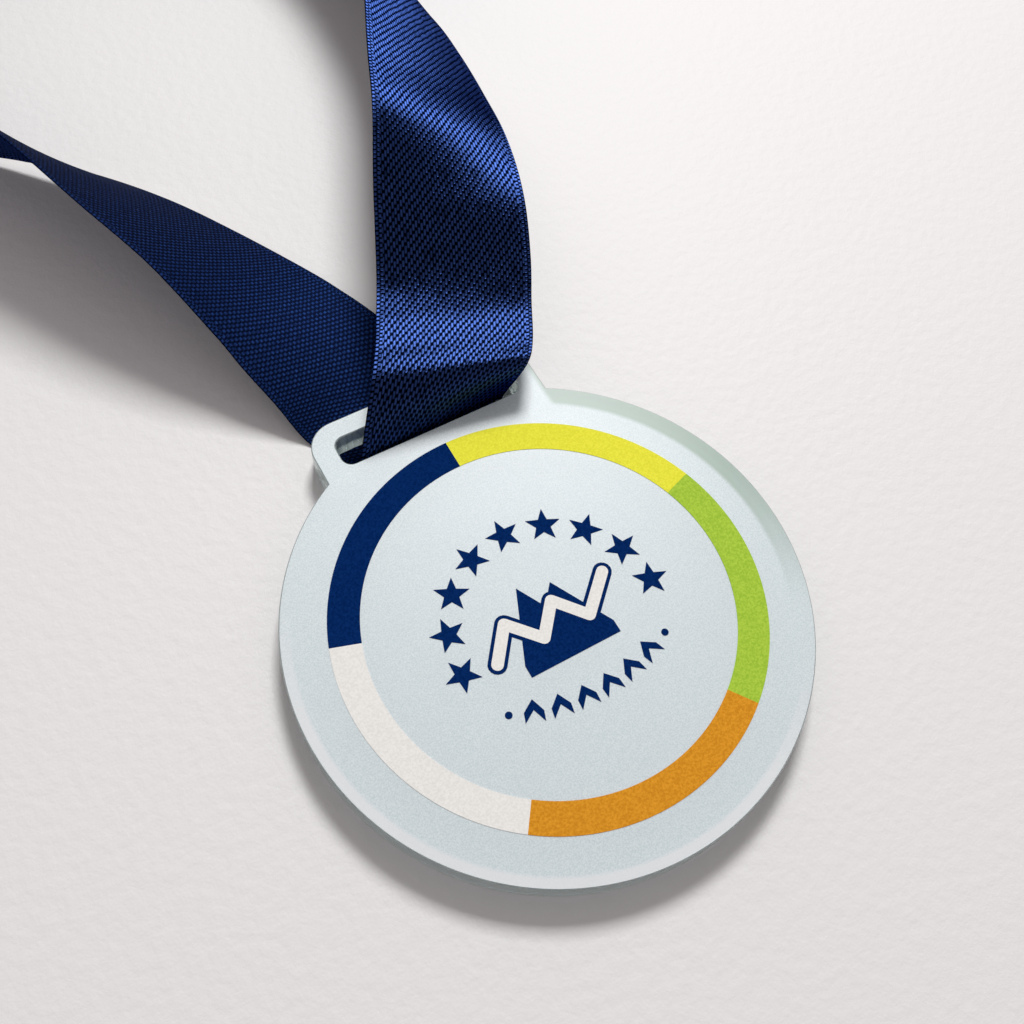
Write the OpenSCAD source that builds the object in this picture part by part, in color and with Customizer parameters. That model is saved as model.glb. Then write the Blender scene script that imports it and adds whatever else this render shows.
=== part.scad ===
// Finisher medal: a printed acrylic disc with a slotted tab, on a satin neck ribbon.
// Origin: centre of the disc on its back face. +Z out of the printed face, +Y towards the tab.

/* [Plate] */
// Diameter of the disc
disc_d = 65; // [60:0.5:66]
// Thickness of the acrylic sheet
plate_t = 4; // [3:0.1:4]
// Width of the hanging tab
tab_w = 32; // [31:0.5:36]
// Distance from the disc's centre to the top of the tab
tab_top = 36.5; // [36.5:0.1:38]
// Radius of the tab's outer corners
tab_r = 4; // [1:0.5:5]

/* [Slot] */
// Width of the ribbon slot
slot_w = 25.8; // [25.8:0.2:28]
// Height of the ribbon slot
slot_h = 4.3; // [4.3:0.1:5]
// Radius of the slot's corners
slot_r = 1.4; // [0.5:0.1:2]
// Thickness of the bar that the ribbon hangs on
bar_h = 2.7; // [2.5:0.1:2.7]

/* [Print] */
// Inner radius of the colour ring
ring_in = 22.9; // [20:0.1:24]
// Outer radius of the colour ring
ring_out = 26.8; // [25:0.1:28]
// Thickness of the printed ink
ink_t = 0.06; // [0.03:0.01:0.1]
// Radius of the arc that the stars stand on
star_arc_r = 13.2; // [13:0.1:14]
// Number of stars on the arc
star_count = 9; // [5:1:9]
// Radius of one star
star_r = 2.3; // [1:0.05:2.4]
// Radius of the arc that the chevrons lie on
chevron_arc_r = 23.8; // [22:0.1:26]
// Number of chevrons on the lower arc
chevron_count = 6; // [2:2:6]

/* [Ribbon] */
// Width of the ribbon
ribbon_w = 21; // [20:0.5:21]
// Thickness of the ribbon
ribbon_t = 0.3; // [0.2:0.05:0.3]

/* [Ribbon roll] */
// Outer radius of the rolled-up ribbon
roll_out = 14.5; // [14.5:0.1:16]
// Radius of the empty core of the roll
roll_in = 6; // [5:0.1:7]
// Length of the sewn tab in the roll's core
seam_l = 8; // [5:0.5:9]
// Width of the tape that ties the roll
tie_w = 5; // [3:0.5:8]
// Thickness of the tape that ties the roll
tie_t = 0.15; // [0.1:0.05:0.2]

/* [Hidden] */

disc_r = disc_d / 2;
segment = 72;
ring_start = 18;
star_step = 23;
star_arc_y = -1.6;
chevron_arc_y = 12.3;
chevron_step = 8;
star_waist = 0.42;
mountains = [[-6.2, -6.2], [-6.2, -4.6], [-2.2, 4.6], [-0.2, 0.9], [1.9, 3.4], [6.2, -4.6], [6.2, -6.2]];
// The trail zigzags across the mountains, with a line of ink round it.
trail = [[-9, -2.9], [-5.8, 1.2], [-2.4, -2.6], [0.8, 1.2], [4, -2.6], [8.4, 1.6]];
trail_half = 0.75;
trail_line = 0.45;
chevron = [[-1.2, -1.1], [0, 0.4], [1.2, -1.1], [1.2, 0.2], [0, 1.7], [-1.2, 0.2]];
dot_r = 0.45;
// How many chevrons' places the two dots are from the ends of the row.
dot_gap = 0.9;
// Stitches of the sewn ends, in two rows across the ribbon.
stitch = [0.3, 0.15, 1.6];
stitch_rows = [2, 5];
stitch_count = 8;
stitch_pitch = 2.5;
stitch_start = 0.9;
// Direction of the tie from the roll's middle, and the gap between it and the roll.
tie_angle = -20;
tie_slack = 0.05;

// Middle of the bar. The ribbon's route is measured from here.
bar_mid = [0, tab_top - bar_h / 2, plate_t / 2];
slot_y = tab_top - bar_h - slot_h / 2;
// Lower edge of the ribbon where it stands on edge, from the middle of the bar.
floor_z = -2.25;
// Middle of the roll, seen from above, from the middle of the bar.
roll_mid = [-30, 137, 0];

// The ribbon's route as [left edge, right edge], in mm from the middle of the bar.
// Front strand, from the roll to the slot. It starts on edge and lies down as it comes.
front_route = [
    [[-30, 122.4, 18.75], [-30, 122.4, floor_z]],
    [[-19.5, 123, 18.75], [-19.5, 123, floor_z]],
    [[-7, 124.5, 18.75], [-7, 124.5, floor_z]],
    [[5, 124, 18.75], [5, 124, floor_z]],
    [[16, 119.5, 18.75], [17, 120, floor_z]],
    [[24, 109.5, 18.5], [27, 110, floor_z]],
    [[28, 94, 18.5], [33, 92.5, -2]],
    [[27.5, 76, 19], [35.5, 74, 0]],
    [[24.5, 64.5, 19.5], [36, 62, 2]],
    [[20, 54, 19.5], [34.5, 51, 4.5]],
    [[15, 43, 19.5], [32, 39, 7.5]],
    [[10.5, 32, 19], [29, 28, 10.5]],
    [[5.5, 22.5, 14.5], [25.5, 16.5, 11]],
    [[2, 15, 10], [22, 8.5, 9]]];
// Down through the slot and out under the bar.
slot_route = [
    [[-1, 9, 9], [19, 3, 7.5]],
    [[-4, 3.5, 9], [16, -2.5, 7.5]],
    [[-7, -1, 8], [13.5, -5.5, 7.5]],
    [[-10.5, -5.1, 2], [10.5, -5.2, 2]],
    [[-10.7, -5, 0], [10.3, -5.1, 0]],
    [[-11.2, -4.5, -1.9], [9.8, -3.9, -2]],
    [[-12, -3, -2.2], [8.6, -1.5, -2.2]],
    [[-13, -0.7, -2.2], [7, 2, -2.2]]];
// Rear strand, from the bar to the roll. It rises on to its right edge as it goes.
rear_route = [
    [[-14.5, 2.5, -1.9], [5, 6.5, -2.1]],
    [[-16.5, 7.5, 1], [2, 16, -1]],
    [[-18.5, 13, 4], [-1, 22.5, -0.5]],
    [[-20, 18, 6.5], [-3.5, 27.5, -0.5]],
    [[-24, 28, 11.5], [-9.5, 38, 0]],
    [[-28.5, 38.5, 14.5], [-16, 47.5, 0.5]],
    [[-33, 49.5, 17], [-23.5, 57, 0]],
    [[-38, 60.5, 18.5], [-32, 65.5, -1]],
    [[-43.5, 71.5, 18.75], [-40.5, 73.5, -2]],
    [[-48, 84, 18.75], [-47, 84, floor_z]],
    [[-51, 99.5, 18.75], [-51, 99.5, floor_z]],
    [[-50, 119, 18.75], [-50, 119, floor_z]],
    [[-44.6, 137, 18.75], [-44.6, 137, floor_z]]];
route = concat(front_route, slot_route, rear_route);
rings_per_station = 2;
first_slot_ring = (len(front_route) - 1) * rings_per_station;
last_slot_ring = (len(front_route) + len(slot_route)) * rings_per_station;
last_ring = (len(route) - 1) * rings_per_station;

function unit(v) = v / norm(v);
function spline(a, b, c, d, t) =
    b + t / 2 * (c - a + t * (2 * a - 5 * b + 4 * c - d + t * (3 * b - 3 * c + d - a)));
function station(i) = route[max(0, min(i, len(route) - 1))];
function edge(side, u) = let (i = floor(u))
    spline(station(i - 1)[side], station(i)[side], station(i + 1)[side], station(i + 2)[side], u - i);
function middle(u) = (edge(0, u) + edge(1, u)) / 2;
function across(u) = unit(edge(1, u) - edge(0, u));
function along(u) = unit(middle(min(u + 0.1, len(route) - 1)) - middle(max(u - 0.1, 0)));
function normal(u) = unit(cross(along(u), across(u)));
function ring_points(u) = [for (corner = [[-1, 1], [1, 1], [1, -1], [-1, -1]])
    middle(u) + corner[0] * ribbon_w / 2 * across(u) + corner[1] * ribbon_t / 2 * normal(u)];

// Both faces of the ribbon are cut along the same diagonals, so its thickness stays even.
function split_quad(q, back) = back
    ? [[q[0], q[1], q[3]], [q[1], q[2], q[3]]]
    : [[q[0], q[1], q[2]], [q[0], q[2], q[3]]];

// A length of ribbon from one ring of the route to another, as one closed strip.
module strip(first, last) {
    points = [for (k = [first:last]) each ring_points(k / rings_per_station)];
    n = last - first;
    sides = [for (k = [0:n - 1], s = [0:3]) let (a = 4 * k + s, b = 4 * k + (s + 1) % 4)
        each split_quad([a, b, b + 4, a + 4], s >= 2)];
    ends = [[3, 2, 1, 0], [4 * n, 4 * n + 1, 4 * n + 2, 4 * n + 3]];
    translate(bar_mid) polyhedron(points, concat(sides, ends));
}

// A block with round corners, centred on the origin in X and Y.
module round_block(size, r) {
    translate([-size[0] / 2 + r, -size[1] / 2, 0]) cube([size[0] - 2 * r, size[1], size[2]]);
    translate([-size[0] / 2, -size[1] / 2 + r, 0]) cube([size[0], size[1] - 2 * r, size[2]]);
    for (x = [-1, 1], y = [-1, 1])
        translate([x * (size[0] / 2 - r), y * (size[1] / 2 - r), 0]) cylinder(h = size[2], r = r, $fn = 48);
}

module acrylic_plate() {
    through = 1;
    color("#d3dee0") difference() {
        union() {
            cylinder(h = plate_t, r = disc_r, $fn = 180);
            translate([0, tab_top / 2, 0]) round_block([tab_w, tab_top, plate_t], tab_r);
        }
        translate([0, slot_y, -through]) round_block([slot_w, slot_h, plate_t + 2 * through], slot_r);
    }
}

// One printed segment of the colour ring, counted clockwise from the tab.
module ring_segment(index) {
    translate([0, 0, plate_t]) rotate([0, 0, ring_start - index * segment])
        rotate_extrude(angle = segment, $fn = 180)
            translate([ring_in, 0]) square([ring_out - ring_in, ink_t]);
}

module ring_yellow() { color("#dedb30") ring_segment(0); }
module ring_green() { color("#96c828") ring_segment(1); }
module ring_orange() { color("#dd9420") ring_segment(2); }
module ring_white() { color("#f4f2ee") ring_segment(3); }
module ring_navy() { color("#0a285f") ring_segment(4); }

module ink(shape_points) {
    translate([0, 0, plate_t]) linear_extrude(ink_t) polygon(shape_points);
}

function star_points(r) = [for (k = [0:9]) let (s = k % 2 == 0 ? r : r * star_waist)
    [s * sin(36 * k), s * cos(36 * k)]];

module print_stars() {
    color("#0a285f") for (k = [0:star_count - 1]) let (a = (k - (star_count - 1) / 2) * star_step)
        translate([star_arc_r * sin(a), star_arc_y + star_arc_r * cos(a), 0]) rotate([0, 0, -a])
            ink(star_points(star_r));
}

module trail_band(half) {
    for (k = [0:len(trail) - 2]) hull() for (p = [trail[k], trail[k + 1]])
        translate(p) circle(r = half, $fn = 16);
}

module print_mountains() {
    color("#0a285f") translate([0, 0, plate_t]) linear_extrude(ink_t) difference() {
        union() {
            polygon(mountains);
            trail_band(trail_half + trail_line);
        }
        trail_band(trail_half);
    }
}

module print_trail() {
    color("#f4f2ee") translate([0, 0, plate_t]) linear_extrude(ink_t) trail_band(trail_half);
}

module on_lower_arc(a) {
    translate([chevron_arc_r * sin(a), chevron_arc_y - chevron_arc_r * cos(a), 0])
        rotate([0, 0, a]) children();
}

module print_chevrons() {
    color("#0a285f") for (k = [0:chevron_count - 1])
        on_lower_arc((k - (chevron_count - 1) / 2) * chevron_step) ink(chevron);
}

module print_dots() {
    color("#0a285f") for (side = [-1, 1])
        on_lower_arc(side * ((chevron_count - 1) / 2 + dot_gap) * chevron_step)
            translate([0, 0, plate_t]) cylinder(h = ink_t, r = dot_r, $fn = 32);
}

module ribbon_in_slot() { color("#10235a") strip(first_slot_ring, last_slot_ring); }
module front_strand() { color("#10235a") strip(0, first_slot_ring); }
module rear_strand() { color("#10235a") strip(last_slot_ring, last_ring); }

module at_roll() { translate(bar_mid + roll_mid + [0, 0, floor_z]) children(); }

module ribbon_roll() {
    color("#10235a") at_roll() rotate_extrude($fn = 120)
        translate([roll_in, 0]) square([roll_out - roll_in, ribbon_w]);
}

// The two ends of the ribbon, laid face to face and sewn, stand in the roll's core.
module sewn_ends() {
    color("#16306e") at_roll() translate([-roll_in, -ribbon_t, 0]) cube([seam_l, 2 * ribbon_t, ribbon_w]);
}

module end_stitches() {
    color("#0a1a44") at_roll() for (x = stitch_rows, y = [ribbon_t, -ribbon_t - stitch[1]])
        for (k = [0:stitch_count - 1])
            translate([x - roll_in, y, stitch_start + k * stitch_pitch]) cube(stitch);
}

// A flat tape through the core and round the roll's wall, which holds the roll shut.
module roll_tie() {
    start = sqrt(roll_in * roll_in - tie_w * tie_w / 4) - tie_slack;
    span = roll_out + tie_slack - start;
    color("#0a1a44") at_roll() rotate([0, 0, tie_angle]) translate([start, 0, 0]) difference() {
        translate([-tie_t, -tie_w / 2, -tie_t]) cube([span + 2 * tie_t, tie_w, ribbon_w + 2 * tie_t]);
        translate([0, -tie_w, 0]) cube([span, 2 * tie_w, ribbon_w]);
    }
}

acrylic_plate();
ring_yellow();
ring_green();
ring_orange();
ring_white();
ring_navy();
print_stars();
print_mountains();
print_trail();
print_chevrons();
print_dots();
ribbon_in_slot();
front_strand();
rear_strand();
ribbon_roll();
sewn_ends();
end_stitches();
roll_tie();
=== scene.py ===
"""Looks of the finisher medal: a frosted acrylic disc with a printed ring and emblem, on a satin ribbon.

Lengths are in millimetres until they reach Blender, which takes metres: MM turns one into the other.
"""
import math

import bmesh
import bpy
import numpy as np
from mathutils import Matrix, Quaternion, Vector
from mathutils.geometry import tessellate_polygon


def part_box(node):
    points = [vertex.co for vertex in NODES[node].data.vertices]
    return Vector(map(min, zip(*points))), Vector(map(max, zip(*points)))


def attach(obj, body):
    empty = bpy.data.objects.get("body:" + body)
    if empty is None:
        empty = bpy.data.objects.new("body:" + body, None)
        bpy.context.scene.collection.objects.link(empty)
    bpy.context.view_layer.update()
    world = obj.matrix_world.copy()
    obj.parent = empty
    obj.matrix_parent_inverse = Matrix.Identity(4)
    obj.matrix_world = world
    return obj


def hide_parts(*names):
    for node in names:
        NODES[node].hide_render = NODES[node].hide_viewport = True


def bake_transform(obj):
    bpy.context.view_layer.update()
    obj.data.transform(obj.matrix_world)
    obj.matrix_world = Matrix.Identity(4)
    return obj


MM = 0.001

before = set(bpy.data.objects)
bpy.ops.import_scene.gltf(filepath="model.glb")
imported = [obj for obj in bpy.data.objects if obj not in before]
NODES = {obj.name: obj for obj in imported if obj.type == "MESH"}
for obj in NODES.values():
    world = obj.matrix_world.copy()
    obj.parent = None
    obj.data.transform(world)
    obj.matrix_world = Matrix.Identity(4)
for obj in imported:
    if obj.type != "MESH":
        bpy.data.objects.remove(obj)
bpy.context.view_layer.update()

# ---- Sizes, read from the frame where it has them ------------------------------------------------

plate_low, plate_high = (np.array(corner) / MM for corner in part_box("acrylic_plate"))
PLATE_TOP = plate_high[2]
BAR_H = 2.7
BAR_MID = np.array([0.0, plate_high[1] - BAR_H / 2, PLATE_TOP / 2])
TABLE_Z = -0.4


def place(name, data):
    """A new object in the scene that holds this data."""
    thing = bpy.data.objects.new(name, data)
    bpy.context.collection.objects.link(thing)
    return thing


# ---- Camera --------------------------------------------------------------------------------------
# The roll is in degrees.

CAMERA_AT = (-38.1, -40.4, 132.0)
CAMERA_AIM = (3.9, 15.7, 0.0)
CAMERA_ROLL = 8.0
LENS = 40.35
SENSOR_W = 36
CLIP_START = 5.0


def make_camera():
    """The view of a phone held over the medal, a little in front of it and turned to the left."""
    data = bpy.data.cameras.new("camera")
    data.lens = LENS
    data.sensor_width = SENSOR_W
    data.clip_start = CLIP_START * MM
    camera = place("camera", data)
    camera.location = Vector(CAMERA_AT) * MM
    line_of_sight = (Vector(CAMERA_AIM) - Vector(CAMERA_AT)).normalized()
    level = line_of_sight.to_track_quat("-Z", "Y")
    camera.rotation_mode = "QUATERNION"
    camera.rotation_quaternion = level @ Quaternion((0, 0, 1), math.radians(CAMERA_ROLL))
    bpy.context.scene.camera = camera


# ---- Light ---------------------------------------------------------------------------------------
# The key light's distance and size are in metres, and its power in watts.

KEY_DIRECTION = Vector((0.495, 0.703, 1.0)).normalized()
KEY_DISTANCE = 1.1
KEY_SIZE = 0.29
KEY_POWER = 9.6
SURROUND_COLOUR = (1.0, 0.93, 0.94, 1.0)
SURROUND_STRENGTH = 0.38
# Half the side of the table top, in metres.
TABLE_HALF = 1.5

# ---- Node helpers --------------------------------------------------------------------------------


class Shader:
    """A thin wrapper that adds nodes to one material and links them by socket name."""

    def __init__(self, name):
        self.material = bpy.data.materials.new(name)
        self.material.use_nodes = True
        self.tree = self.material.node_tree
        self.surface = self.tree.nodes["Principled BSDF"]

    def put(self, socket, value):
        """Links the value to the socket if it comes from another node, or else sets it."""
        if isinstance(value, bpy.types.NodeSocket):
            self.tree.links.new(value, socket)
        else:
            socket.default_value = value

    def add(self, kind, **values):
        """A node of this kind. Values name its inputs, or its own settings where no input has that name."""
        node = self.tree.nodes.new("ShaderNode" + kind)
        for name, value in values.items():
            socket = node.inputs.get(name.replace("_", " "))
            if socket is None:
                setattr(node, name, value)
            else:
                self.put(socket, value)
        return node

    def math(self, operation, *values):
        node = self.tree.nodes.new("ShaderNodeMath")
        node.operation = operation
        for socket, value in zip(node.inputs, values):
            self.put(socket, value)
        return node.outputs[0]

    def mix(self, factor, a, b):
        """Colour a turning into colour b as factor goes from 0 to 1."""
        node = self.tree.nodes.new("ShaderNodeMix")
        node.data_type = "RGBA"
        for socket, value in zip((node.inputs[0], node.inputs[6], node.inputs[7]), (factor, a, b)):
            self.put(socket, value)
        return node.outputs[2]

    def mix_value(self, factor, a, b):
        """Value a turning into value b as factor goes from 0 to 1."""
        return self.math("ADD", a, self.math("MULTIPLY", factor, self.math("SUBTRACT", b, a)))

    def ramp(self, value, low, high):
        """value turned into 0 at low and 1 at high, with a smooth step between them."""
        node = self.tree.nodes.new("ShaderNodeMapRange")
        node.interpolation_type = "SMOOTHSTEP"
        self.tree.links.new(value, node.inputs[0])
        node.inputs[1].default_value = low
        node.inputs[2].default_value = high
        return node.outputs[0]

    def set(self, **values):
        """Sets or links inputs of the material's Principled BSDF."""
        for name, value in values.items():
            self.put(self.surface.inputs[name.replace("_", " ")], value)

    def bump(self, height, strength, distance):
        return self.add("Bump", Height=height, Strength=strength, Distance=distance).outputs["Normal"]


def rgb(red, green, blue):
    """A colour given as it looks on screen, 0 to 255, in the linear values that Blender takes."""
    linear = [((c / 255 + 0.055) / 1.055) ** 2.4 if c > 10 else c / 255 / 12.92 for c in (red, green, blue)]
    return (*linear, 1.0)


# ---- Ribbon --------------------------------------------------------------------------------------
# The route is the one in part.scad: [left edge, right edge], in mm from the middle of the bar.

RIBBON_W = 21.0
RIBBON_T = 0.30
FLOOR_Z = -2.25
STANDING_TOP = FLOOR_Z + RIBBON_W
ROLL_MID = np.array([-30.0, 137.0, FLOOR_Z])

FRONT_ROUTE = [
    [[-30, 122.4, STANDING_TOP], [-30, 122.4, FLOOR_Z]],
    [[-19.5, 123, STANDING_TOP], [-19.5, 123, FLOOR_Z]],
    [[-7, 124.5, STANDING_TOP], [-7, 124.5, FLOOR_Z]],
    [[5, 124, STANDING_TOP], [5, 124, FLOOR_Z]],
    [[16, 119.5, STANDING_TOP], [17, 120, FLOOR_Z]],
    [[24, 109.5, 18.5], [27, 110, FLOOR_Z]],
    [[28, 94, 18.5], [33, 92.5, -2]],
    [[27.5, 76, 19], [35.5, 74, 0]],
    [[24.5, 64.5, 19.5], [36, 62, 2]],
    [[20, 54, 19.5], [34.5, 51, 4.5]],
    [[15, 43, 19.5], [32, 39, 7.5]],
    [[10.5, 32, 19], [29, 28, 10.5]],
    [[5.5, 22.5, 14.5], [25.5, 16.5, 11]],
    [[2, 15, 10], [22, 8.5, 9]],
]
SLOT_ROUTE = [
    [[-1, 9, 9], [19, 3, 7.5]],
    [[-4, 3.5, 9], [16, -2.5, 7.5]],
    [[-7, -1, 8], [13.5, -5.5, 7.5]],
    [[-10.5, -5.1, 2], [10.5, -5.2, 2]],
    [[-10.7, -5, 0], [10.3, -5.1, 0]],
    [[-11.2, -4.5, -1.9], [9.8, -3.9, -2]],
    [[-12, -3, -2.2], [8.6, -1.5, -2.2]],
    [[-13, -0.7, -2.2], [7, 2, -2.2]],
]
REAR_ROUTE = [
    [[-14.5, 2.5, -1.9], [5, 6.5, -2.1]],
    [[-16.5, 7.5, 1], [2, 16, -1]],
    [[-18.5, 13, 4], [-1, 22.5, -0.5]],
    [[-20, 18, 6.5], [-3.5, 27.5, -0.5]],
    [[-24, 28, 11.5], [-9.5, 38, 0]],
    [[-28.5, 38.5, 14.5], [-16, 47.5, 0.5]],
    [[-33, 49.5, 17], [-23.5, 57, 0]],
    [[-38, 60.5, 18.5], [-32, 65.5, -1]],
    [[-43.5, 71.5, STANDING_TOP], [-40.5, 73.5, -2]],
    [[-48, 84, STANDING_TOP], [-47, 84, FLOOR_Z]],
    [[-51, 99.5, STANDING_TOP], [-51, 99.5, FLOOR_Z]],
    [[-50, 119, STANDING_TOP], [-50, 119, FLOOR_Z]],
    [[-44.6, 137, STANDING_TOP], [-44.6, 137, FLOOR_Z]],
]
ROUTE = np.array(FRONT_ROUTE + SLOT_ROUTE + REAR_ROUTE, float)

ROLL_PITCH = 1.95
FRONT_TURNS = 4.25
REAR_TURNS = 4.0
ROLL_STEP = math.radians(6)
SEAM_L = 8.0
SEAM_STEP = 0.8
# How far each sewn end lies from the seam's middle, and the radius that it turns into the core with.
SEAM_HALF_GAP = 0.17
CORE_BEND = 0.9
ROW_STEP = 0.7
# Rows of the open stretch come at this share of the way from one station to the next.
STATION_STEP = 0.05


def spline(a, b, c, d, t):
    return b + t / 2 * (c - a + t * (2 * a - 5 * b + 4 * c - d + t * (3 * b - 3 * c + d - a)))


def edges_at(u):
    """Both edges of the ribbon at station number u, which needn't be whole."""
    i = int(math.floor(u))
    four = [ROUTE[max(0, min(k, len(ROUTE) - 1))] for k in (i - 1, i, i + 1, i + 2)]
    return spline(*four, u - i)


def open_rows():
    """Rows across the ribbon from the roll, round the bar and back to the roll."""
    return [edges_at(u) for u in np.arange(0, len(ROUTE) - 1 + 1e-6, STATION_STEP)]


def standing(x, y):
    """A row that stands on edge at this place, measured from the middle of the roll."""
    foot = ROLL_MID + np.array([x, y, 0.0])
    return np.array([foot + [0, 0, RIBBON_W], foot])


def wound_rows(turns, start_angle, start_radius, lay_y):
    """Rows of one layer from the roll's outside to its core, and along the sewn tab in the core."""
    rows = []
    for k in range(1, int(turns * 2 * math.pi / ROLL_STEP)):
        turned = k * ROLL_STEP
        r = start_radius - ROLL_PITCH * turned / (2 * math.pi)
        a = start_angle - turned
        rows.append(standing(r * math.cos(a), r * math.sin(a)))
    inner = start_radius - ROLL_PITCH * turns
    for a in np.linspace(math.pi, math.pi / 2, 6)[1:]:
        bend_x, bend_y = CORE_BEND * math.cos(a), CORE_BEND * math.sin(a)
        rows.append(standing(-inner + CORE_BEND + bend_x, lay_y - CORE_BEND + bend_y))
    for x in np.arange(CORE_BEND + SEAM_STEP, CORE_BEND + SEAM_L, SEAM_STEP):
        rows.append(standing(-inner + x, lay_y))
    return rows


def ribbon_rows():
    """The whole ribbon as rows of [left edge, right edge], from one sewn end to the other."""
    opened = open_rows()
    at_front, at_rear = opened[0].mean(0) - ROLL_MID, opened[-1].mean(0) - ROLL_MID
    front = wound_rows(FRONT_TURNS, -math.pi / 2, math.hypot(*at_front[:2]), -SEAM_HALF_GAP)
    rear = wound_rows(REAR_TURNS, math.pi, math.hypot(*at_rear[:2]), SEAM_HALF_GAP)
    rows = np.array(front[::-1] + opened + rear)
    middle = rows.mean(1)
    half = rows[:, 1] - rows[:, 0]
    half *= (RIBBON_W / 2 / np.linalg.norm(half, axis=1))[:, None]
    rows = np.stack([middle - half, middle + half], 1)
    gone = np.concatenate([[0], np.cumsum(np.linalg.norm(np.diff(middle, axis=0), axis=1))])
    even = np.linspace(0, gone[-1], int(gone[-1] / ROW_STEP))
    flat = rows.reshape(len(rows), 6)
    rows = np.stack([np.interp(even, gone, flat[:, k]) for k in range(6)], 1).reshape(-1, 2, 3)
    return rows, even


# Across the ribbon: distance from the nearer edge in mm, and the share of the full thickness there.
EDGE_PROFILE = [(0.0, 0.35), (0.08, 0.85), (0.25, 1.12), (0.6, 1.15), (0.95, 0.95), (1.3, 1.0)]
INNER_COLUMNS = 18


def ribbon_columns():
    """Columns along the ribbon, as distance from its left edge and share of the full thickness."""
    inner_start = EDGE_PROFILE[-1][0]
    inner = [(d, 1.0) for d in np.linspace(inner_start, RIBBON_W - inner_start, INNER_COLUMNS)[1:-1]]
    far = [(RIBBON_W - d, t) for d, t in reversed(EDGE_PROFILE)]
    return np.array(EDGE_PROFILE + inner + far)


def smooth(values, passes):
    """Each value averaged with its neighbours, this many times, with both ends held."""
    for _ in range(passes):
        values = values.copy()
        values[1:-1] = (values[:-2] + 2 * values[1:-1] + values[2:]) / 4
    return values


def woven_mesh(name, points, faces, uvs):
    """A smooth mesh with UVs in mm. Its points are in metres."""
    mesh = bpy.data.meshes.new(name)
    mesh.from_pydata(points.tolist(), [], faces)
    mesh.uv_layers.new(name="mm").data.foreach_set("uv", np.array(uvs, float).ravel())
    mesh.polygons.foreach_set("use_smooth", [True] * len(faces))
    return mesh


def make_ribbon(satin, twill):
    """One closed mesh: the satin face, the matt back and the woven edges. UVs are in mm."""
    rows, length = ribbon_rows()
    columns = ribbon_columns()
    share = columns[:, 0] / RIBBON_W
    middle = rows.mean(1)
    along = np.gradient(smooth(middle, passes=4), axis=0)
    across = rows[:, 1] - rows[:, 0]
    normal = np.cross(along, across)
    normal = smooth(normal / np.linalg.norm(normal, axis=1)[:, None], passes=3)
    normal /= np.linalg.norm(normal, axis=1)[:, None]
    sheet_points = rows[:, None, 0] + share[None, :, None] * across[:, None, :]
    lift = normal[:, None, :] * (columns[:, 1] * RIBBON_T / 2)[None, :, None]
    points = (np.concatenate([sheet_points + lift, sheet_points - lift], 1) + BAR_MID) * MM
    n_rows, n_cols = len(rows), len(columns)
    ring = list(range(n_cols)) + list(range(2 * n_cols - 1, n_cols - 1, -1))
    faces, uvs, slots = [], [], []
    across_mm = np.concatenate([columns[:, 0], columns[:, 0]])
    for r in range(n_rows - 1):
        base, following = r * 2 * n_cols, (r + 1) * 2 * n_cols
        for k in range(2 * n_cols):
            a, b = ring[k], ring[(k + 1) % (2 * n_cols)]
            faces.append((base + a, base + b, following + b, following + a))
            uvs += [(across_mm[a], length[r]), (across_mm[b], length[r]),
                    (across_mm[b], length[r + 1]), (across_mm[a], length[r + 1])]
            slots.append(0 if k < n_cols - 1 else 1)
    # The two cut ends, each closed by one face.
    for r, order in ((0, reversed(ring)), (n_rows - 1, ring)):
        cap = [r * 2 * n_cols + k for k in order]
        faces.append(cap)
        uvs += [(across_mm[k % (2 * n_cols)], length[r]) for k in cap]
        slots.append(1)
    mesh = woven_mesh("neck_ribbon", points.reshape(-1, 3), faces, uvs)
    mesh.polygons.foreach_set("material_index", slots)
    mesh.materials.append(satin)
    mesh.materials.append(twill)
    mesh.update()
    return place("neck_ribbon", mesh), length[-1]


# ---- Plate ---------------------------------------------------------------------------------------

DISC_R = -plate_low[1]
TAB_HALF = 16.0
TAB_TOP = plate_high[1]
TAB_R = 4.0
SLOT_HALF = 12.9
SLOT_H = 4.3
SLOT_R = 1.4
CUT_BEVEL = 0.14
# Steepest turn between faces that are still shaded as one curve, in degrees.
SMOOTH_BELOW = 30
DISC_POINTS, TAB_CORNER_POINTS, SLOT_CORNER_POINTS = 301, 17, 9


def arc(centre, radius, start, end, count):
    """Points of an arc, anticlockwise, with angles in degrees."""
    angles = np.radians(np.linspace(start, end, count))
    return [(centre[0] + radius * math.cos(a), centre[1] + radius * math.sin(a)) for a in angles]


def plate_outline():
    """The disc and its tab, anticlockwise, starting where the tab's left side leaves the disc."""
    neck = math.degrees(math.acos(TAB_HALF / DISC_R))
    corner = TAB_HALF - TAB_R
    return np.array(
        arc((0, 0), DISC_R, 180 - neck, 360 + neck, DISC_POINTS)
        + arc((corner, TAB_TOP - TAB_R), TAB_R, 0, 90, TAB_CORNER_POINTS)
        + arc((-corner, TAB_TOP - TAB_R), TAB_R, 90, 180, TAB_CORNER_POINTS)
    )


def slot_outline():
    """The slot with its round corners, anticlockwise."""
    middle = TAB_TOP - BAR_H - SLOT_H / 2
    x, y = SLOT_HALF - SLOT_R, SLOT_H / 2 - SLOT_R
    corners = [(x, middle - y, -90), (x, middle + y, 0), (-x, middle + y, 90), (-x, middle - y, 180)]
    arcs = [arc((cx, cy), SLOT_R, start, start + 90, SLOT_CORNER_POINTS) for cx, cy, start in corners]
    return np.array([p for corner in arcs for p in corner])


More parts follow.
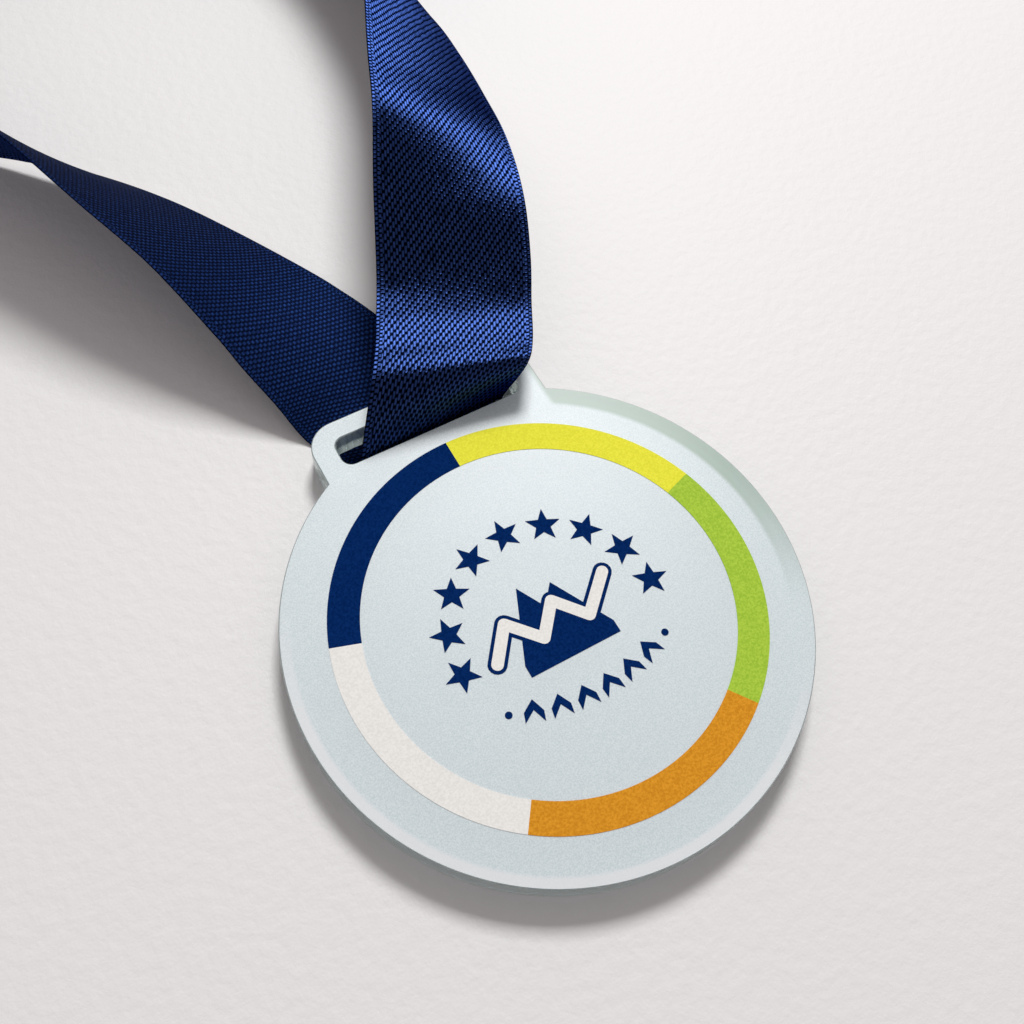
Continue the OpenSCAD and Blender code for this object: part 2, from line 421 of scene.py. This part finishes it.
def inset(outline, distance):
    """The outline moved inwards, or outwards where distance is negative."""
    before, after = np.roll(outline, 1, 0), np.roll(outline, -1, 0)
    normals = []
    for a, b in ((before, outline), (outline, after)):
        d = (b - a) / np.linalg.norm(b - a, axis=1)[:, None]
        normals.append(np.stack([-d[:, 1], d[:, 0]], 1))
    sum_of = normals[0] + normals[1]
    return outline + distance * 2 * sum_of / (sum_of ** 2).sum(1)[:, None]


def make_plate(face_material, edge_material):
    """The sheet with fine bevels on its cut edges. Material 0 is frosted, material 1 is cut."""
    bm = bmesh.new()
    levels = [(0, CUT_BEVEL), (CUT_BEVEL, 0), (PLATE_TOP - CUT_BEVEL, 0), (PLATE_TOP, CUT_BEVEL)]
    rims = {}

    def corners_at(outline, distance, z):
        return [bm.verts.new((*(p * MM), z * MM)) for p in inset(outline, distance)]

    for name, outline, side in (("outer", plate_outline(), 1), ("slot", slot_outline(), -1)):
        rims[name] = [corners_at(outline, side * d, z) for z, d in levels]
    for name, rings in rims.items():
        for low, high in zip(rings, rings[1:]):
            for k in range(len(low)):
                n = (k + 1) % len(low)
                quad = (low[k], low[n], high[n], high[k])
                face = bm.faces.new(quad if name == "outer" else quad[::-1])
                face.material_index, face.smooth = 1, True
    for level, flip in ((0, True), (-1, False)):
        loop = rims["outer"][level] + rims["slot"][level]
        polygons = [[v.co for v in rims[name][level]] for name in ("outer", "slot")]
        for triangle in tessellate_polygon(polygons):
            corners = [loop[k] for k in triangle]
            face = bm.faces.new(corners)
            face.normal_update()
            if (face.normal.z < 0) != flip:
                face.normal_flip()
    mesh = bpy.data.meshes.new("acrylic_sheet")
    bm.to_mesh(mesh)
    bm.free()
    mesh.materials.append(face_material)
    mesh.materials.append(edge_material)
    mesh.set_sharp_from_angle(angle=math.radians(SMOOTH_BELOW))
    return place("acrylic_sheet", mesh)


# ---- Thread and tie ------------------------------------------------------------------------------


TUBE_SIDES = 8
# A tube's end rings have this share of its radius.
TUBE_END_SHARE = 0.45


def make_tube(name, lines, radius, material):
    """Closed tubes with narrower ends along each line of points, in mm, as one object."""
    bm = bmesh.new()
    for line in lines:
        line = np.array(line, float)
        rings = []
        for k, p in enumerate(line):
            d = line[min(k + 1, len(line) - 1)] - line[max(k - 1, 0)]
            d /= np.linalg.norm(d)
            side = np.cross(d, (0, 0, 1)) if abs(d[2]) < 0.9 else np.cross(d, (1, 0, 0))
            side /= np.linalg.norm(side)
            up = np.cross(side, d)
            r = radius * (TUBE_END_SHARE if k in (0, len(line) - 1) else 1)
            rings.append([
                bm.verts.new((p + r * (math.cos(a) * side + math.sin(a) * up)) * MM)
                for a in np.linspace(0, 2 * math.pi, TUBE_SIDES, endpoint=False)
            ])
        for low, high in zip(rings, rings[1:]):
            for k in range(TUBE_SIDES):
                n = (k + 1) % TUBE_SIDES
                bm.faces.new((low[k], high[k], high[n], low[n]))
        bm.faces.new(rings[0])
        bm.faces.new(rings[-1][::-1])
    bmesh.ops.recalc_face_normals(bm, faces=bm.faces)
    for face in bm.faces:
        face.smooth = True
    mesh = bpy.data.meshes.new(name)
    bm.to_mesh(mesh)
    bm.free()
    mesh.materials.append(material)
    return place(name, mesh)


STITCH_COLUMNS = (0.15, 3.15)
STITCH_COUNT = 8
STITCH_PITCH = 2.5
# One stitch, as distance from the seam's middle and height above its foot.
STITCH_ARCH = [(0.28, 0), (0.38, 0.3), (0.42, 0.8), (0.38, 1.3), (0.28, 1.6)]
THREAD_R = 0.09


def make_stitches(material):
    """Two rows of lockstitches through the two sewn ends, each a low arch on both faces."""
    start, end = (np.array(corner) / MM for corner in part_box("end_stitches"))
    centre_y = start[1] + (end[1] - start[1]) / 2
    lines = []
    for column in STITCH_COLUMNS:
        for k in range(STITCH_COUNT):
            foot = start[2] + k * STITCH_PITCH
            for side in (-1, 1):
                arch = [(centre_y + side * out, foot + up) for out, up in STITCH_ARCH]
                lines.append([(start[0] + column, y, z) for y, z in arch])
    return make_tube("seam_thread", lines, THREAD_R, material)


TIE_ANGLE = math.radians(-20)
# How far the tie's inner and outer runs are from the middle of the roll.
TIE_INNER, TIE_OUTER = 5.3, 14.75
TIE_HALF_WIDTH, TIE_THICK, TIE_CORNER = 2.5, 0.2, 0.5
TIE_CORNER_POINTS = 5
TIE_STEP = 0.8
# Across the tie: distance from its middle, and the share of the full thickness there.
TIE_EDGE = 0.15
TIE_COLUMNS = [
    (-TIE_HALF_WIDTH, 0.5), (-TIE_HALF_WIDTH + TIE_EDGE, 1),
    (TIE_HALF_WIDTH - TIE_EDGE, 1), (TIE_HALF_WIDTH, 0.5),
]


def tie_path(bottom, top):
    """The tie's closed path between these heights, as distance from the core's middle and height."""
    inner, outer = TIE_INNER + TIE_CORNER, TIE_OUTER - TIE_CORNER
    low, high = bottom + TIE_CORNER, top - TIE_CORNER
    corners = [(outer, low, -90), (outer, high, 0), (inner, high, 90), (inner, low, 180)]
    arcs = [arc((x, y), TIE_CORNER, start, start + 90, TIE_CORNER_POINTS) for x, y, start in corners]
    loop = [p for corner in arcs for p in corner]
    path = []
    for p, q in zip(loop, loop[1:] + loop[:1]):
        parts = max(1, int(math.hypot(q[0] - p[0], q[1] - p[1]) / TIE_STEP))
        path += [(p[0] + (q[0] - p[0]) * s / parts, p[1] + (q[1] - p[1]) * s / parts) for s in range(parts)]
    return np.array(path)


def make_tie(material):
    """A narrow tape through the roll's core and round its wall, closed on itself."""
    low, high = (np.array(c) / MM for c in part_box("roll_tie"))
    core = BAR_MID + ROLL_MID
    cos, sin = math.cos(TIE_ANGLE), math.sin(TIE_ANGLE)
    path = tie_path(low[2] + TIE_THICK / 2, high[2] - TIE_THICK / 2)
    outward = -(inset(path, 1.0) - path)
    points = []
    for p, o in zip(path, outward):
        for face, columns in ((1, TIE_COLUMNS), (-1, TIE_COLUMNS[::-1])):
            for x, share in columns:
                out, z = p + o * face * share * TIE_THICK / 2
                points.append(core * (1, 1, 0) + (out * cos - x * sin, out * sin + x * cos, z))
    legs = np.diff(np.vstack([path, path[:1]]), axis=0)
    gone = np.concatenate([[0], np.cumsum(np.linalg.norm(legs, axis=1))])
    across = [x + TIE_HALF_WIDTH for x, _ in TIE_COLUMNS + TIE_COLUMNS[::-1]]
    n, count = len(across), len(path)
    faces, uvs = [], []
    for k in range(count):
        following = (k + 1) % count
        for a in range(n):
            b = (a + 1) % n
            faces.append((k * n + a, k * n + b, following * n + b, following * n + a))
            uvs += [(across[a], gone[k]), (across[b], gone[k]),
                    (across[b], gone[k + 1]), (across[a], gone[k + 1])]
    mesh = woven_mesh("roll_tape", np.array(points) * MM, faces, uvs)
    mesh.materials.append(material)
    bm = bmesh.new()
    bm.from_mesh(mesh)
    bmesh.ops.recalc_face_normals(bm, faces=bm.faces)
    bm.to_mesh(mesh)
    bm.free()
    return place("roll_tape", mesh)


# ---- Materials -----------------------------------------------------------------------------------


def uv_mm(shader):
    """Across and along the ribbon, in mm."""
    coordinates = shader.add("UVMap", uv_map="mm")
    split = shader.add("SeparateXYZ", Vector=coordinates.outputs[0])
    return split.outputs[0], split.outputs[1]


# Each weave: pitch across and along in mm, shift from column to column, and the share that a dash covers.
SATIN_WEAVE = (0.38, 1.3, 0.375, 0.62)
TWILL_WEAVE = (0.6, 0.72, 0.375, 0.55)
EDGE_WEAVE = (0.5, 0.62, 0.5, 0.6)
TAPE_WEAVE = (0.4, 0.5, 0.5, 0.6)


def floats(shader, across, along, pitch_across, pitch_along, shift, cover):
    """A lattice of raised dashes, each a yarn that floats over others. 1 on a dash and 0 between them."""
    column = shader.math("DIVIDE", across, pitch_across)
    index = shader.math("FLOOR", column)
    side = shader.math("SUBTRACT", shader.math("FRACT", column), 0.5)
    hollow = shader.math("MULTIPLY", shader.math("MULTIPLY", side, side), 4.0)
    roundness = shader.math("SUBTRACT", 1.0, hollow)
    phase = shader.math("FRACT", shader.math("ADD", shader.math("DIVIDE", along, pitch_along),
                                             shader.math("MULTIPLY", index, shift)))
    from_middle = shader.math("ABSOLUTE", shader.math("SUBTRACT", phase, 0.5))
    dash = shader.ramp(from_middle, cover / 2 + 0.08, cover / 2 - 0.08)
    return shader.math("MULTIPLY", roundness, dash)


def fibre_noise(shader, across, along, scale_across, scale_along):
    """Noise drawn out along the yarns, 0 to 1."""
    place = shader.add("CombineXYZ", X=shader.math("MULTIPLY", across, scale_across),
                       Y=shader.math("MULTIPLY", along, scale_along))
    return shader.add("TexNoise", Vector=place.outputs[0], Scale=1.0, Detail=3.0).outputs[0]


def selvedge(shader, across):
    """1 on the two woven edges, 0 between them."""
    near = shader.math("MINIMUM", across, shader.math("SUBTRACT", RIBBON_W, across))
    return shader.ramp(near, 1.0, 0.85)


# How far the satin's highlight is turned from the ribbon's length, in whole turns, as chosen.
SHEEN_TURN = 0.013


def satin_material():
    s = Shader("satin_face")
    across, along = uv_mm(s)
    wander = s.math("MULTIPLY", fibre_noise(s, across, along, 0.7, 0.3), 0.9)
    dash = floats(s, across, s.math("ADD", along, wander), *SATIN_WEAVE)
    edge_dash = floats(s, across, along, *EDGE_WEAVE)
    edge = selvedge(s, across)
    yarn = s.mix_value(edge, dash, edge_dash)
    streak = fibre_noise(s, across, along, 3.2, 0.35)
    deep, bright = rgb(2, 4, 15), rgb(60, 86, 152)
    s.set(Base_Color=s.mix(s.math("MULTIPLY", yarn, s.ramp(streak, 0.1, 0.6)), deep, bright))
    s.set(Roughness=0.47, Metallic=1.0, Specular_Tint=rgb(30, 60, 150))
    s.set(Anisotropic=1.0, Anisotropic_Rotation=SHEEN_TURN)
    s.set(Tangent=s.add("Tangent", direction_type="UV_MAP", uv_map="mm").outputs[0])
    s.set(Normal=s.bump(s.math("MULTIPLY", yarn, s.ramp(streak, 0.1, 0.9)), 0.6, 0.06 * MM))
    return s.material


def twill_material():
    s = Shader("twill_back")
    across, along = uv_mm(s)
    dash = floats(s, across, along, *TWILL_WEAVE)
    edge_dash = floats(s, across, along, *EDGE_WEAVE)
    yarn = s.mix_value(selvedge(s, across), dash, edge_dash)
    fine = fibre_noise(s, across, along, 6.0, 1.5)
    deep, bright = rgb(6, 14, 38), rgb(36, 66, 128)
    s.set(Base_Color=s.mix(s.math("MULTIPLY", yarn, s.ramp(fine, 0.2, 0.8)), deep, bright))
    s.set(Roughness=0.62, Metallic=0.8, Specular_Tint=rgb(20, 40, 100))
    s.set(Normal=s.bump(yarn, 0.7, 0.06 * MM))
    return s.material


def tape_material(name, deep, bright):
    s = Shader(name)
    across, along = uv_mm(s)
    dash = floats(s, across, along, *TAPE_WEAVE)
    s.set(Base_Color=s.mix(dash, deep, bright), Roughness=0.7, Sheen_Weight=0.3)
    s.set(Normal=s.bump(dash, 0.6, 0.05 * MM))
    return s.material


def thread_material():
    s = Shader("thread")
    place = s.add("TexCoord").outputs["Object"]
    twist = s.add("TexWave", Vector=place, Scale=900.0, Distortion=1.5, Detail=2.0)
    s.set(Base_Color=s.mix(twist.outputs["Fac"], rgb(8, 16, 50), rgb(24, 44, 96)), Roughness=0.55)
    s.set(Normal=s.bump(twist.outputs["Fac"], 0.5, 0.03 * MM))
    return s.material


def grain(shader, scale, detail=2.0):
    """Fine isotropic noise in the medal's own space. scale is bumps per metre."""
    place = shader.add("TexCoord").outputs["Object"]
    return shader.add("TexNoise", Vector=place, Scale=scale, Detail=detail, Roughness=0.6).outputs[0]


# Where the painted shade band and the painted glow along the rim begin and are full, in mm from the disc's
# centre.
PAINTED_SHADE_BAND = (29.6, 30.4)
PAINTED_GLOW_BAND = (30.8, 31.4)


def painted_rim_shade_and_glow(shader):
    """Two soft bands of painted light along the disc's rim: painted shade towards the key light, right of
    the tab, and a painted glow away from it.
    """
    place = shader.add("SeparateXYZ", Vector=shader.add("TexCoord").outputs["Object"])
    x, y = place.outputs[0], place.outputs[1]
    x_squared, y_squared = shader.math("MULTIPLY", x, x), shader.math("MULTIPLY", y, y)
    distance = shader.math("SQRT", shader.math("ADD", x_squared, y_squared))
    light_x = shader.math("MULTIPLY", x, KEY_DIRECTION[0])
    light_y = shader.math("MULTIPLY", y, KEY_DIRECTION[1])
    facing = shader.math("DIVIDE", shader.math("ADD", light_x, light_y), distance)
    away = shader.math("MULTIPLY", facing, -1.0)
    beside_tab = shader.ramp(x, (TAB_HALF - 1) * MM, TAB_HALF * MM)
    painted_shade_ring = shader.ramp(distance, PAINTED_SHADE_BAND[0] * MM, PAINTED_SHADE_BAND[1] * MM)
    painted_glow_ring = shader.ramp(distance, PAINTED_GLOW_BAND[0] * MM, PAINTED_GLOW_BAND[1] * MM)
    # Painted shade: a darker band on the rim where it faces the key light.
    far = shader.math("MULTIPLY", painted_shade_ring, shader.ramp(facing, 0.05, 0.5))
    # Painted glow: a lighter band on the rim where it faces away from the key light.
    near = shader.math("MULTIPLY", painted_glow_ring, shader.ramp(away, 0.0, 0.4))
    return shader.math("MULTIPLY", far, beside_tab), near


def frosted_material():
    s = Shader("frosted_face")
    fine, broad = grain(s, 5200.0), grain(s, 90.0, 3.0)
    tint = s.mix(s.ramp(fine, 0.3, 0.7), rgb(214, 229, 233), rgb(242, 252, 254))
    tint = s.mix(s.math("MULTIPLY", broad, 0.3), tint, rgb(226, 236, 240))
    # The rim's painted shade, then its painted glow, laid over the frosted tint.
    far, near = painted_rim_shade_and_glow(s)
    tint = s.mix(far, tint, rgb(170, 192, 180))
    s.set(Base_Color=s.mix(s.math("MULTIPLY", near, 0.7), tint, rgb(252, 254, 255)))
    s.set(Roughness=s.math("ADD", 0.34, s.math("MULTIPLY", fine, 0.1)), Transmission_Weight=0.25, IOR=1.49)
    s.set(Normal=s.bump(fine, 0.2, 0.03 * MM))
    return s.material


def cut_material():
    s = Shader("cut_edge")
    place = s.add("TexCoord").outputs["Object"]
    stretched = s.add("Mapping", Vector=place, Scale=(1.0, 1.0, 0.05))
    lines = s.add("TexNoise", Vector=stretched.outputs[0], Scale=2600.0, Detail=2.0).outputs[0]
    s.set(Base_Color=s.mix(lines, rgb(214, 230, 226), rgb(242, 250, 248)))
    s.set(Roughness=s.math("ADD", 0.12, s.math("MULTIPLY", lines, 0.14)), Transmission_Weight=0.7, IOR=1.49)
    s.set(Normal=s.bump(lines, 0.2, 0.03 * MM))
    return s.material


def ink_material(name, colour, dark):
    """Printed ink over a frosted face: the face's grain shows through it."""
    s = Shader(name)
    fine, speck = grain(s, 3800.0), grain(s, 1500.0, 4.0)
    shade = s.mix(s.ramp(fine, 0.3, 0.7), dark, colour)
    s.set(Base_Color=s.mix(s.math("MULTIPLY", s.ramp(speck, 0.55, 0.75), 0.15), shade, dark))
    s.set(Roughness=0.6, Specular_IOR_Level=0.0)
    s.set(Normal=s.bump(fine, 0.3, 0.05 * MM))
    return s.material


INKS = {
    "yellow": (rgb(240, 238, 74), rgb(224, 222, 62)),
    "green": (rgb(178, 210, 74), rgb(152, 190, 60)),
    "orange": (rgb(226, 156, 46), rgb(202, 134, 34)),
    "white": (rgb(240, 239, 235), rgb(228, 227, 222)),
    "navy": (rgb(10, 44, 100), rgb(4, 32, 82)),
}


def paint_prints():
    """Gives each printed CAD node its ink."""
    inks = {name: ink_material("ink_" + name, *colours) for name, colours in INKS.items()}
    for node, thing in NODES.items():
        if node.startswith("ring_"):
            ink = inks[node.removeprefix("ring_")]
        elif node.startswith("print_"):
            ink = inks["white" if node == "print_trail" else "navy"]
        else:
            continue
        thing.data.materials.clear()
        thing.data.materials.append(ink)


# ---- Stage ---------------------------------------------------------------------------------------


def area_light(name, direction, distance, size, power, colour):
    data = bpy.data.lights.new(name, "AREA")
    data.size, data.energy, data.color = size, power, colour
    light = place(name, data)
    light.location = direction * distance
    light.rotation_mode = "QUATERNION"
    light.rotation_quaternion = direction.to_track_quat("Z", "Y")


def make_stage():
    """A pale table top, one soft window-like key light and an even pale surround."""
    mesh = bpy.data.meshes.new("table")
    half, z = TABLE_HALF, TABLE_Z * MM
    corners = [(-half, -half, z), (half, -half, z), (half, half, z), (-half, half, z)]
    mesh.from_pydata(corners, [], [(0, 1, 2, 3)])
    table = place("table", mesh)
    s = Shader("table_top")
    s.set(Base_Color=rgb(230, 229, 228), Roughness=0.55)
    s.set(Normal=s.bump(grain(s, 620.0, 5.0), 0.3, 0.4 * MM))
    mesh.materials.append(s.material)
    area_light("key", KEY_DIRECTION, KEY_DISTANCE, KEY_SIZE, KEY_POWER, (1.0, 1.0, 1.0))
    world = bpy.data.worlds.new("surround")
    world.use_nodes = True
    background = world.node_tree.nodes["Background"]
    background.inputs[0].default_value = SURROUND_COLOUR
    background.inputs[1].default_value = SURROUND_STRENGTH
    bpy.context.scene.world = world
    bpy.context.scene.view_settings.view_transform = "Standard"


# ---- Put together --------------------------------------------------------------------------------

make_camera()
make_stage()
paint_prints()

plate = make_plate(frosted_material(), cut_material())
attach(plate, "medal")
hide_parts("acrylic_plate")

ribbon, ribbon_length = make_ribbon(satin_material(), twill_material())
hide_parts("ribbon_in_slot", "front_strand", "rear_strand", "ribbon_roll", "sewn_ends")
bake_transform(ribbon)

stitches = make_stitches(thread_material())
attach(stitches, "neck_loop")
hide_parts("end_stitches")

tie = make_tie(tape_material("tie_tape", rgb(10, 20, 56), rgb(26, 46, 100)))
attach(tie, "neck_loop")
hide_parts("roll_tie")
